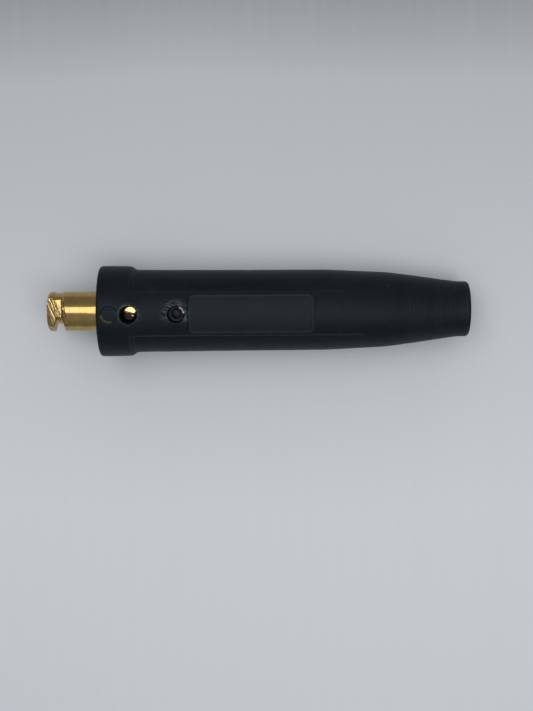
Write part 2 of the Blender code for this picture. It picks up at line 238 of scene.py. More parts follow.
def rubber_material():
    m = Nodes("moulded_rubber")
    plain = m.coords()
    along = m.coords(scale=(0.35, 1.0, 1.0))
    cloud = m.noise(along, 55.0, 4.0, 0.55)
    patch = m.noise(plain, 210.0, 5.0, 0.6)
    grain = m.noise(plain, 2600.0, 3.0, 0.6)
    pores = m.noise(plain, 900.0, 4.0, 0.65)
    scratch = m.noise(m.coords(scale=(0.12, 1.0, 1.0), rotation=(0.0, 0.0, 0.25)), 1500.0, 2.0, 0.5)

    pad = m.attribute("pad")
    wear_and_highlight = m.attribute("wear_and_highlight")
    scuff_and_highlight = m.attribute("scuff_and_highlight")
    inside = m.attribute("inside")

    base = m.ramp(cloud, (0.3, (0.0030, 0.0052, 0.0062)), (0.7, (0.0052, 0.0078, 0.0090)))
    base = m.mix(m.math("MULTIPLY", pad, 0.5), base, (0.0115, 0.0145, 0.0155))
    dust = m.ramp(patch, (0.5, 0.0), (0.78, 1.0))
    base = m.mix(m.math("MULTIPLY", dust, 0.14), base, (0.024, 0.029, 0.031))
    # lighter grey on edges: real wear, and painted highlight on the pad's rim and on the upper arcs of the witness
    # disc and the retaining screw's hole
    wear_and_highlight_mix = m.math("MULTIPLY", wear_and_highlight, m.ramp(pores, (0.32, 0.35), (0.62, 1.0)))
    base = m.mix(m.math("MULTIPLY", wear_and_highlight_mix, 0.5), base, (0.045, 0.050, 0.053))
    # lighter rubbed patches: real scuffs round the clamp screw's hole, and painted highlight on the upper side of
    # the retaining screw's hole
    rubbed_and_highlight = m.math("MULTIPLY", scuff_and_highlight, m.ramp(scratch, (0.41, 0.0), (0.58, 1.0)))
    base = m.mix(m.math("MULTIPLY", rubbed_and_highlight, 0.75), base, (0.085, 0.092, 0.095))
    base = m.mix(m.attribute("stain"), base, (0.105, 0.060, 0.026))
    # painted shade: rubber darkened to near black below the skin, inside the holes and the bore, and in the witness
    # groove and the sink in front of the pad
    base = m.mix(inside, base, (0.003, 0.0033, 0.0036))

    rough = m.math("MULTIPLY_ADD", cloud, 0.16, 0.36)
    rough = m.math("MULTIPLY_ADD", pores, 0.12, rough)
    rough = m.math("MULTIPLY_ADD", pad, 0.06, rough)
    rough = m.math("MULTIPLY_ADD", scuff_and_highlight, 0.1, rough)
    rough = m.math("MULTIPLY_ADD", inside, 0.55, rough)

    height = m.math("MULTIPLY_ADD", pores, 1.6, grain)
    normal = m.bump(height, 0.00004, 0.55)
    normal = m.bump(m.math("MULTIPLY", scratch, scuff_and_highlight), 0.00012, 0.8, normal)
    padgrain = m.math("MULTIPLY", m.noise(plain, 3200.0, 2.0, 0.5), pad)
    normal = m.bump(padgrain, 0.00006, 0.5, normal)
    m.set(Base_Color=base, Roughness=rough, Normal=normal, Specular_IOR_Level=0.17, Specular_Tint=(0.74, 0.90, 1.0))
    return m.material


def brass_material(name, tint=(0.47, 0.325, 0.117), dark=(0.37, 0.24, 0.082), polish=0.075):
    m = Nodes(name)
    plain = m.coords()
    turning = m.noise(m.coords(scale=(1.0, 0.03, 0.03)), 7200.0, 3.0, 0.6)
    broad = m.noise(m.coords(scale=(1.0, 0.05, 0.05)), 900.0, 3.0, 0.6)
    milled = m.noise(m.coords(scale=(1.0, 0.09, 0.4), rotation=(0.0, 0.0, -0.42)), 900.0, 2.0, 0.5)
    stain = m.noise(plain, 260.0, 5.0, 0.65)
    cut = m.attribute("milled")

    colour = m.mix(m.ramp(stain, (0.38, 0.0), (0.72, 1.0)), tint, dark)
    colour = m.mix(m.math("MULTIPLY", m.ramp(broad, (0.45, 0.0), (0.65, 1.0)), 0.25), colour, (0.54, 0.40, 0.17))
    bright = m.math("MULTIPLY", cut, m.ramp(milled, (0.40, 0.0), (0.58, 1.0)))
    colour = m.mix(m.math("MULTIPLY", cut, 0.30), colour, (0.27, 0.16, 0.05))
    colour = m.mix(bright, colour, (0.56, 0.41, 0.19))
    # painted shade: where this mask is set, inside the retaining screw's hole, the brass is darkened to near black
    # and made rougher
    painted_shade = m.attribute("painted_shade")
    colour = m.mix(painted_shade, colour, m.ramp(stain, (0.42, (0.006, 0.006, 0.005)), (0.68, (0.045, 0.046, 0.038))))
    rough = m.math("MULTIPLY_ADD", stain, 0.08, polish)
    rough = m.math("MULTIPLY_ADD", broad, 0.03, rough)
    rough = m.math("MULTIPLY_ADD", cut, 0.07, rough)
    rough = m.math("MULTIPLY_ADD", painted_shade, 0.3, rough)
    ring_height = m.mix(0.35, turning, broad)
    normal = m.bump(ring_height, 0.00003, 0.35)
    normal = m.bump(m.math("MULTIPLY", milled, cut), 0.0005, 1.0, normal)
    m.set(Base_Color=colour, Roughness=rough, Metallic=1.0, Normal=normal)
    return m.material


def steel_material():
    m = Nodes("black_oxide_steel")
    plain = m.coords()
    stain = m.noise(plain, 600.0, 4.0, 0.6)
    turning = m.noise(m.coords(scale=(0.1, 0.1, 1.0)), 6000.0, 3.0, 0.6)
    wear_and_highlight = m.attribute("wear_and_highlight")
    bare_and_highlight = m.attribute("bare_and_highlight")
    colour = m.ramp(stain, (0.3, (0.005, 0.006, 0.0075)), (0.7, (0.014, 0.017, 0.021)))
    # lighter grey where this mask is set: painted highlight on the lower arc of the head's rim, and a lighter key
    # socket
    colour = m.mix(m.math("MULTIPLY", wear_and_highlight, 0.4), colour, (0.07, 0.075, 0.08))
    # bright bare metal where this mask is set, a crescent placed where a highlight shows: worn metal in part,
    # painted highlight in part
    colour = m.mix(bare_and_highlight, colour, (0.72, 0.71, 0.69))
    rough = m.math("MULTIPLY_ADD", stain, 0.2, 0.38)
    rough = m.math("MULTIPLY_ADD", bare_and_highlight, -0.30, rough)
    m.set(Base_Color=colour, Roughness=rough, Metallic=0.9, Normal=m.bump(turning, 0.00002, 0.4))
    return m.material


def copper_material():
    m = Nodes("copper")
    plain = m.coords()
    stain = m.noise(plain, 420.0, 5.0, 0.6)
    brushed = m.noise(m.coords(scale=(0.08, 1.0, 1.0)), 5200.0, 3.0, 0.6)
    colour = m.ramp(stain, (0.3, (0.46, 0.19, 0.10)), (0.7, (0.74, 0.36, 0.21)))
    rough = m.math("MULTIPLY_ADD", stain, 0.2, 0.24)
    m.set(Base_Color=colour, Roughness=rough, Metallic=1.0, Normal=m.bump(brushed, 0.00002, 0.4))
    return m.material


def floor_material():
    m = Nodes("pale_floor")
    texcoord = m.node("ShaderNodeTexCoord")
    plain = texcoord.outputs["Object"]
    split = m.node("ShaderNodeSeparateXYZ")
    m.link(plain, split.inputs["Vector"])
    soft = m.noise(plain, 4.0, 2.0, 0.4)
    ribs_map = m.node("ShaderNodeMapping")
    ribs_map.inputs["Scale"].default_value = (1.0, 0.02, 1.0)
    m.link(plain, ribs_map.inputs["Vector"])
    ribs = m.noise(ribs_map.outputs["Vector"], 260.0, 2.0, 0.5)
    # painted shade: the floor's colour darkens towards +Y, standing in for the light's falloff across it
    falloff_position = m.math("MULTIPLY_ADD", split.outputs["Y"], 2.05, 0.655)
    falloff_position = m.math("MULTIPLY_ADD", soft, 0.06, falloff_position)
    painted_falloff = [(0.48, 0.625), (0.91, 0.458), (1.0, 0.290)]
    colour = m.ramp(falloff_position, *[(at, (0.972 * v, v, 1.024 * v)) for at, v in painted_falloff])
    colour = m.mix(m.math("MULTIPLY", m.ramp(ribs, (0.4, 0.0), (0.7, 1.0)), 0.06), colour, (0.50, 0.525, 0.55))
    m.set(Base_Color=colour, Roughness=0.75, Normal=m.bump(ribs, 0.0001, 0.1), Specular_IOR_Level=0.25)
    return m.material


# ---------------------------------------------------------------------------
# Mesh helpers, in connector millimetres
# ---------------------------------------------------------------------------
def finished(mesh, angle=32.0):
    mesh.polygons.foreach_set("use_smooth", [True] * len(mesh.polygons))
    mesh.set_sharp_from_angle(angle=math.radians(angle))
    mesh.update()
    return mesh


def points_of(mesh):
    co = np.empty(len(mesh.vertices) * 3, np.float32)
    mesh.vertices.foreach_get("co", co)
    return co.reshape(-1, 3).astype(float) / MM


def paint_corners(mesh, name, values, keep):
    """Like paint, but for face corners, and nought on faces that keep leaves out."""
    layer = mesh.attributes.new(name, "FLOAT", "CORNER")
    for face in mesh.polygons:
        kept = keep(face.normal)
        for loop, vertex in zip(face.loop_indices, face.vertices):
            layer.data[loop].value = float(values[vertex]) if kept else 0.0


def paint(mesh, name, values):
    layer = mesh.attributes.new(name, "FLOAT", "POINT")
    layer.data.foreach_set("value", np.asarray(values, np.float32))


def lathe(outline, segments, axis="X", closed=False):
    """Body of revolution of (station, radius) points; ends on the axis stay open points."""
    bm = bmesh.new()
    rows = []
    for station, radius in outline:
        if radius < 1e-6:
            p = (station, 0, 0) if axis == "X" else (0, 0, station)
            rows.append([bm.verts.new(Vector(p) * MM)])
            continue
        row = []
        for k in range(segments):
            a = 2 * math.pi * k / segments
            s, c = radius * math.sin(a), radius * math.cos(a)
            p = (station, s, c) if axis == "X" else (c, s, station)
            row.append(bm.verts.new(Vector(p) * MM))
        rows.append(row)
    pairs = list(zip(rows, rows[1:]))
    if closed:
        pairs.append((rows[-1], rows[0]))
    for a, b in pairs:
        if len(a) == 1 and len(b) == 1:
            continue
        for k in range(segments):
            n = (k + 1) % segments
            if len(a) == 1:
                bm.faces.new((a[0], b[k], b[n]))
            elif len(b) == 1:
                bm.faces.new((a[k], b[0], a[n]))
            else:
                bm.faces.new((a[k], b[k], b[n], a[n]))
    bmesh.ops.recalc_face_normals(bm, faces=bm.faces)
    return bm


def to_mesh(bm, name):
    mesh = bpy.data.meshes.new(name)
    bm.to_mesh(mesh)
    bm.free()
    return mesh


def boolean(obj, cutters, operation="DIFFERENCE"):
    """Applies cutters, given as bmeshes in connector coordinates, to obj."""
    helpers = []
    for bm in cutters:
        helper = bpy.data.objects.new("cutter", to_mesh(bm, "cutter"))
        bpy.context.scene.collection.objects.link(helper)
        helper.matrix_world = obj.matrix_world
        modifier = obj.modifiers.new("cut", "BOOLEAN")
        modifier.operation = operation
        modifier.solver = "EXACT"
        modifier.object = helper
        helpers.append(helper)
    bake(obj)
    for helper in helpers:
        mesh = helper.data
        bpy.data.objects.remove(helper)
        bpy.data.meshes.remove(mesh)


def settle(obj):
    """Moves the placing into the mesh, so that the object itself sits at the origin."""
    obj.data.transform(TO_WORLD)
    obj.matrix_world = Matrix.Identity(4)
    obj.data.update()
    return obj


def bake(obj):
    """Replaces obj's mesh with what its modifiers make of it."""
    bpy.context.view_layer.update()
    graph = bpy.context.evaluated_depsgraph_get()
    mesh = bpy.data.meshes.new_from_object(obj.evaluated_get(graph), depsgraph=graph)
    old = obj.data
    obj.modifiers.clear()
    obj.data = mesh
    name = old.name
    bpy.data.meshes.remove(old)
    mesh.name = name


def soften(obj, width, segments=2, angle=30.0):
    modifier = obj.modifiers.new("soften", "BEVEL")
    modifier.width = width * MM
    modifier.segments = segments
    modifier.limit_method = "ANGLE"
    modifier.angle_limit = math.radians(angle)
    modifier.harden_normals = False
    modifier.use_clamp_overlap = True
    bake(obj)


# ---------------------------------------------------------------------------
# Rubber sleeve
# ---------------------------------------------------------------------------
RETAINER_X, CLAMP_X = 15.05, 37.35
WITNESS_X, WITNESS_Y = 6.15, 0.5
PAD = (43.35, 102.0, 9.1, 2.4)
CUT_RINGS = [147.0, 148.8, 150.6, 152.5, 154.4, 160.4, 162.0, 167.0, 169.0]
OUTSIDE = [
    (0.0, 20.75),
    (0.3, 21.35),
    (0.95, 21.72),
    (1.8, 21.8),
    (4.0, 21.86),
    (9.0, 21.76),
    (14.3, 21.58),
    (15.4, 21.38),
    (16.1, 21.0),
    (17.2, 20.16),
    (17.9, 19.98),
    (19.2, 19.9),
    (41.8, 19.68),
    (70.8, 19.5),
    (105.6, 19.4),
    (108.6, 19.36),
    (111.4, 19.27),
    (117.2, 18.99),
    (123.1, 18.67),
    (131.8, 18.29),
    (135.6, 18.08),
    (139.0, 17.78),
    (144.8, 17.05),
    (150.6, 16.31),
    (156.4, 15.48),
    (162.2, 14.62),
    (168.0, 13.83),
    (171.2, 13.38),
    (172.2, 13.32),
    (175.4, 13.3),
    (176.3, 13.08),
    (176.9, 12.6),
    (177.1, 12.1),
]
INSIDE = [
    (177.1, 11.2),
    (176.85, 10.85),
    (176.4, 10.7),
    (150.0, 10.85),
    (120.0, 11.1),
    (84.0, 11.4),
    (66.0, 14.1),
    (62.4, 14.5),
    (40.0, 14.5),
    (21.7, 14.5),
    (21.7, 9.825),
    (15.0, 9.825),
    (8.0, 9.825),
    (8.0, 15.9),
    (7.8, 16.35),
    (7.4, 16.5),
    (4.0, 16.5),
    (0.7, 16.5),
    (0.2, 16.7),
    (0.0, 17.1),
]
outside_radius = monotone(OUTSIDE)


def panel_radius(x):
    """Outside radius inside the long moulded panel, whose surface runs gently off the collar."""
    return outside_radius(x) + np.clip(21.6 - 1.67 * smooth(13.2, 21.8, x) - outside_radius(x), 0.0, None) * (
        smooth(12.0, 13.2, x) * (1 - smooth(19.2, 23.0, x))
    )


def spread(*spans):
    """Sorted stations from (start, end, step) spans."""
    values = []
    for start, end, step in spans:
        count = max(1, int(round((end - start) / step)))
        values += [start + (end - start) * i / count for i in range(count)]
    values.append(spans[-1][1])
    return values


def sleeve_columns():
    half = spread((0.0, 5.0, 0.3), (5.0, 7.0, 0.4), (7.0, 9.7, 0.2), (9.7, 10.9, 0.13), (10.9, 12.5, 0.5))
    angles = [math.asin(v / 19.5) for v in half]
    top = angles[-1]
    count = 104
    rest = [top + (2 * math.pi - 2 * top) * i / count for i in range(1, count)]
    right = [-a for a in angles[1:]]
    return np.array(sorted(angles + rest + [2 * math.pi + a for a in right]))


def sleeve_rows():
    rows = spread(
        (0.0, 0.9, 0.13),
        (0.9, 9.7, 0.3),
        (9.7, 19.6, 0.3),
        (19.6, 31.0, 0.9),
        (31.0, 42.5, 0.36),
        (42.5, 45.2, 0.2),
        (45.2, 98.8, 1.45),
        (98.8, 101.6, 0.2),
        (101.6, 128.0, 1.2),
        (128.0, 146.2, 1.1),
        (146.2, 155.2, 0.22),
        (155.2, 159.6, 0.7),
        (159.6, 162.8, 0.22),
        (162.8, 166.2, 0.7),
        (166.2, 169.8, 0.22),
        (169.8, 177.1, 0.24),
    )
    return [(x, float(outside_radius(x)), True) for x in rows] + [(x, r, False) for x, r in INSIDE]


def pad_distance(x, y):
    """Distance outside the nameplate pad's rounded outline, negative inside."""
    x0, x1, half, corner = PAD
    qx = np.abs(x - (x0 + x1) / 2) - ((x1 - x0) / 2 - corner)
    qy = np.abs(y) - (half - corner)
    outside = np.hypot(np.maximum(qx, 0), np.maximum(qy, 0))
    return outside + np.minimum(np.maximum(qx, qy), 0) - corner


def sleeve_relief(x, r, a):
    """Radius of the sleeve's surface at station x and angle a, features included."""
    y = r * np.sin(a)
    top = np.cos(a) > 0.2
    out = r + 0.022 * (ripple(x, a, 3) - 1.1) * smooth(1.5, 6.0, x) * (1 - smooth(169.0, 173.0, x))
    panel = np.where(top, smooth(10.42, 10.18, np.abs(y)), 0.0)
    out += (panel_radius(x) - outside_radius(x)) * panel

    # mould insert's witness lines along the body
    for sign, end in ((1.0, 116.0), (-1.0, 126.0)):
        run = smooth(15.2, 16.6, x) * (1 - smooth(end - 6.0, end, x))
        out += np.where(top, (0.09 if sign > 0 else 0.14) * bell(y - sign * 10.3, 0.17) * run, 0.0)
    inner = smooth(10.45, 10.15, np.abs(y)) * smooth(17.0, 19.0, x) * (1 - smooth(100.0, 116.0, x))
    out += np.where(top, 0.07 * inner, 0.0)

    # nameplate pad: flatter crown, crisp raised rim, fine sink round it
    d = pad_distance(x, y)
    crown = -5.0 * np.cos(a) + np.sqrt(25.0**2 - (5.0 * np.sin(a)) ** 2)
    inside = smooth(0.14, -0.22, d)
    pad = crown + 0.12 * bell(d + 0.55, 0.32) - 0.05 * smooth(-0.9, -1.6, d)
    sink = -0.12 * bell(d - 0.32, 0.22) - 0.06 * bell(x - 42.85, 0.2) * smooth(8.4, 7.4, np.abs(y))
    out = np.where(top, out + sink, out)
    out = np.where(top, out * (1 - inside) + pad * inside, out)

    # mould lines across the collar's rear shoulder, beside the panel
    beside = np.where(np.abs(y) > 10.3, 1.0, np.where(top, 0.0, 1.0)) * np.where(y < 0, 1.0, 0.4)
    out += 0.07 * beside * (bell(x - 15.2, 0.2) + bell(x - 17.2, 0.22))

    # rims of the access holes, lifted and scuffed
    for cx, lift in ((RETAINER_X, 0.10), (CLAMP_X, 0.24)):
        rho = np.hypot(x - cx, y)
        turn = np.arctan2(y, x - cx)
        wave = 0.75 + 0.25 * np.sin(3 * turn + cx) + 0.2 * np.sin(7 * turn + 1.3)
        out += np.where(top, lift * wave * bell(rho - 4.55, 0.62), 0.0)

    # closed witness disc on the collar
    rho = np.hypot(x - WITNESS_X, y - WITNESS_Y)
    out -= np.where(top, 0.34 * bell(rho - 3.95, 0.19) + 0.16 * smooth(3.95, 3.6, rho) + 0.04 * smooth(6.0, 4.6, rho), 0.0)
    out += np.where(top, 0.035 * bell(rho - 4.35, 0.22), 0.0)

    # rings scored round the taper
    for index, ring in enumerate(CUT_RINGS):
        depth = 0.11 * (0.8 + 0.2 * np.sin(2 * a + index)) * (0.7 if index % 2 else 1.0)
        out -= depth * bell(x - ring - 0.05 * np.sin(3 * a + index), 0.2)
        out += 0.02 * bell(np.abs(x - ring) - 0.42, 0.16)

    # small nib left by the mould on the taper
    out += np.where(top, 0.14 * bell(np.hypot(x - 137.6, y - 12.6), 0.5), 0.0)

    # trimmed tail edge, slightly uneven
    out -= 0.07 * bell(x - 174.6, 0.25) + 0.03 * smooth(175.6, 176.6, x) * (1.0 + 0.4 * np.sin(3 * a + 0.7))
    return out


def hole_cutter(cx, radius, bottom, neck=None):
    """Round hole from outside, with a small rounded mouth and, if asked for, a narrower neck (z, radius)."""
    bm = bmesh.new()
    segments = 72
    profile = [(0.0, 4.0), (0.62, 3.2), (0.42, 0.9), (0.2, 0.12), (0.07, -0.14), (0.0, -0.42)]
    rows = []
    for grow, lift in profile:
        row = []
        for k in range(segments):
            a = 2 * math.pi * k / segments
            x, y = cx + (radius + grow) * math.cos(a), (radius + grow) * math.sin(a)
            r = float(panel_radius(np.array(x)))
            z = math.sqrt(max(r * r - y * y, 0.0)) + lift
            row.append(bm.verts.new(Vector((x, y, z)) * MM))
        rows.append(row)
    rows[0] = None
    lid = bm.verts.new(Vector((cx, 0.0, 27.0)) * MM)
    rows = rows[1:]
    steps = [(bottom, radius)] if neck is None else [(neck[0], radius), neck, (bottom, neck[1])]
    for z, reach in steps:
        turns = [2 * math.pi * k / segments for k in range(segments)]
        rows.append([bm.verts.new(Vector((cx + reach * math.cos(a), reach * math.sin(a), z)) * MM) for a in turns])
    base = bm.verts.new(Vector((cx, 0.0, bottom)) * MM)
    for k in range(segments):
        n = (k + 1) % segments
        bm.faces.new((lid, rows[0][k], rows[0][n]))
        for a, b in zip(rows, rows[1:]):
            bm.faces.new((a[k], b[k], b[n], a[n]))
        bm.faces.new((base, rows[-1][n], rows[-1][k]))
    loose = [v for v in bm.verts if not v.link_faces]
    bmesh.ops.delete(bm, geom=loose, context="VERTS")
    bmesh.ops.recalc_face_normals(bm, faces=bm.faces)
    return bm


def build_sleeve(material):
    columns = sleeve_columns()
    rows = sleeve_rows()
    count, n = len(rows), len(columns)
    xs = np.array([row[0] for row in rows])[:, None] * np.ones(n)
    rs = np.array([row[1] for row in rows])[:, None] * np.ones(n)
    angles = columns[None, :] * np.ones((count, 1))
    outer = np.array([row[2] for row in rows])
    radius = rs.copy()
    radius[outer] = sleeve_relief(xs[outer], rs[outer], angles[outer])
    co = np.stack([xs, radius * np.sin(angles), radius * np.cos(angles)], axis=-1) * MM
    index = np.arange(count * n).reshape(count, n)
    below = np.roll(index, -1, axis=0)
    quads = np.stack(
        [index, np.roll(index, -1, axis=1), np.roll(below, -1, axis=1), below], axis=-1
    ).reshape(-1, 4)
    mesh = bpy.data.meshes.new("sleeve_rubber")
    mesh.from_pydata(co.reshape(-1, 3).tolist(), [], quads.tolist())
    mesh.update()
    bm = bmesh.new()
    bm.from_mesh(mesh)
    bmesh.ops.recalc_face_normals(bm, faces=bm.faces)
    bm.to_mesh(mesh)
    bm.free()
    obj = placed("sleeve_rubber", mesh, [material])
    boolean(obj, [hole_cutter(RETAINER_X, 4.1, 6.0, (11.0, 3.6)), hole_cutter(CLAMP_X, 4.05, 10.0)])
    mesh = finished(obj.data, 38.0)

    p = points_of(mesh)
    x, y, z = p[:, 0], p[:, 1], p[:, 2]
    r = np.hypot(y, z)
    top = z > 4.0
    span = np.clip(x, 0, 177.1)
    surface = np.where(top & (np.abs(y) < 10.3), panel_radius(span), outside_radius(span))
    depth = surface - r
    d = pad_distance(x, y)
    on_skin = depth < 0.6
    pad = np.where(top & on_skin, smooth(0.05, -0.35, d), 0.0)
    rho1 = np.hypot(x - RETAINER_X, y)
    rho2 = np.hypot(x - CLAMP_X, y)
    rhow = np.hypot(x - WITNESS_X, y - WITNESS_Y)
    # edge marks: real wear on convex edges, the tail, the cut rings and the nib, the mould lines made lighter on
    # the -Y side, and painted highlight on the pad's rim and on the upper arcs of the retaining screw's hole and
    # the witness disc
    wear_and_highlight = np.zeros(len(x))
    wear_and_highlight += np.where(top, 0.65 * bell(d + 0.28, 0.35), 0)
    upper1 = 0.55 + 0.45 * np.sin(np.arctan2(y, x - RETAINER_X))
    wear_and_highlight += np.where(top, 1.7 * upper1 * bell(rho1 - 4.45, 0.3) + 0.7 * bell(rho2 - 4.45, 0.3), 0)
    ring_turn = np.arctan2(y - WITNESS_Y, x - WITNESS_X)
    wear_and_highlight += np.where(top, (0.3 + 1.0 * np.clip(np.sin(ring_turn - 0.2), 0.0, 1.0)) * bell(rhow - 4.3, 0.24), 0)
    wear_and_highlight += np.where(y < 0, 0.95, 0.25) * np.where(top & (np.abs(y) < 10.3), 0.0, 1.0) * (bell(x - 15.2, 0.22) + 0.8 * bell(x - 17.2, 0.25))
    wear_and_highlight += 0.25 * bell(x - 175.2, 0.3)
    wear_and_highlight += np.where(top, 1.0 * bell(np.hypot(x - 137.6, y - 12.6), 0.45), 0)
    for ring in CUT_RINGS:
        wear_and_highlight += 0.18 * bell(np.abs(x - ring) - 0.42, 0.2)
    for sign, end in ((1.0, 116.0), (-1.0, 126.0)):
        wear_and_highlight += np.where(top & (x > 15.2) & (x < end), (0.4 if sign > 0 else 1.1) * bell(y - sign * 10.3, 0.22), 0)
    turn2 = np.arctan2(y, x - CLAMP_X)
    ragged = 0.6 + 0.4 * np.sin(5 * turn2 + 0.8) * np.sin(2 * turn2 - 0.5)
    left_or_top = 1.5 * np.clip(np.cos(turn2 - 2.5), 0.0, 1.0) + 0.9 * np.clip(np.cos(turn2 - 0.35), 0.0, 1.0) ** 2
    scuff_and_highlight = np.where(top, 2.6 * left_or_top * ragged * bell(rho2 - 5.1, 1.3) * smooth(3.6, 4.3, rho2), 0)
    # light scuffs all round the retaining screw's hole, with painted highlight added towards its upper (+Y) side
    # and with height
    scuff_and_highlight += np.where(top, (0.25 + 0.35 * np.clip(z / 40 + np.sin(np.arctan2(y, x - RETAINER_X)), 0.0, 1.0)) * bell(rho1 - 4.8, 0.7) * smooth(3.6, 4.2, rho1), 0)
    scuff_and_highlight += 0.05 * smooth(173.0, 174.8, x)
    arc = smooth(math.radians(176), math.radians(192), ring_turn % (2 * math.pi)) * (1 - smooth(math.radians(282), math.radians(296), ring_turn % (2 * math.pi)))
    stain = np.where(top, arc * bell(rhow - 3.75, 0.3), 0.0)
    # painted shade: dark ring in the witness disc's groove
    witness_groove_shade = np.where(top & (rhow < 5.0), 0.75 * bell(rhow - 3.95, 0.24), 0.0)
    within = smooth(0.5, 1.6, depth)
    # painted shade: dark line in the sink in front of the pad
    pad_front_shade = np.where(top & on_skin, 0.8 * bell(x - 42.85, 0.24) * smooth(8.4, 7.2, np.abs(y)), 0.0)
    paint(mesh, "pad", np.clip(pad, 0, 1))
    paint(mesh, "wear_and_highlight", np.clip(wear_and_highlight * (1 - within), 0, 1))
    paint(mesh, "scuff_and_highlight", np.clip(scuff_and_highlight * (1 - within), 0, 1))
    paint(mesh, "stain", np.clip(1.25 * stain, 0, 1))
    # painted shade: near-black rubber below the skin, strongest in the access holes, plus the groove and pad-front
    # lines
    access = np.where((z > 7.5) & ((rho1 < 5.0) | (rho2 < 5.0)), 0.85, 0.22)
    paint(mesh, "inside", np.clip(np.maximum(within * access, pad_front_shade + witness_groove_shade * (1 - stain)), 0, 1))
    return obj


# ---------------------------------------------------------------------------
# Brass plug
# ---------------------------------------------------------------------------
TIP = -25.049
FLAT = 6.57
SLOT_FLOOR = 5.9


def slot_front(degrees):
    return -20.7 - 0.7 * min(max((degrees - 25.0) / 55.0, 0.0), 1.0)


def slot_rear(degrees):
    return -18.3 + 0.7 * min(max((degrees - 28.0) / 62.0, 0.0), 1.0)


def slot_floor(degrees):
    """Radius of the slot's floor: the entry's flat first, then a step down to the round floor."""
    return SLOT_FLOOR if degrees > 18.0 else FLAT / math.cos(math.radians(degrees))


def slot_section(degrees):
    floor, front, rear = slot_floor(degrees), slot_front(degrees), slot_rear(degrees)
    rise_front, rise_rear = 0.15, (-16.6 - rear) / (9.525 - floor)
    return [
        (front, floor),
        (rear, floor),
        (rear + rise_rear * (12.0 - floor), 12.0),
        (front - rise_front * (12.0 - floor), 12.0),
    ]


def relief_section(degrees):
    rear = -18.5 + 2.05 * min(max((degrees + 90.0) / 90.0, 0.0), 1.25)
    return [(-21.8, 9.05), (rear, 9.05), (rear + 3.2, 12.0), (-22.4, 12.0)]


def swept(profile_at, angles):
    """Closed sweep about X of an (x, r) section that may change with the angle from +Z towards -Y."""
    bm = bmesh.new()
    rows = []
    for degrees in angles:
        a = math.radians(degrees)
        rows.append(
            [bm.verts.new(Vector((x, -r * math.sin(a), r * math.cos(a))) * MM) for x, r in profile_at(degrees)]
        )
    n = len(rows[0])
    for a, b in zip(rows, rows[1:]):
        for k in range(n):
            bm.faces.new((a[k], a[(k + 1) % n], b[(k + 1) % n], b[k]))
    bm.faces.new(rows[0])
    bm.faces.new(rows[-1])
    bmesh.ops.recalc_face_normals(bm, faces=bm.faces)
    return bm


def hull(points):
    bm = bmesh.new()
    for point in points:
        bm.verts.new(Vector(point) * MM)
    bmesh.ops.convex_hull(bm, input=bm.verts)
    bmesh.ops.recalc_face_normals(bm, faces=bm.faces)
    return bm


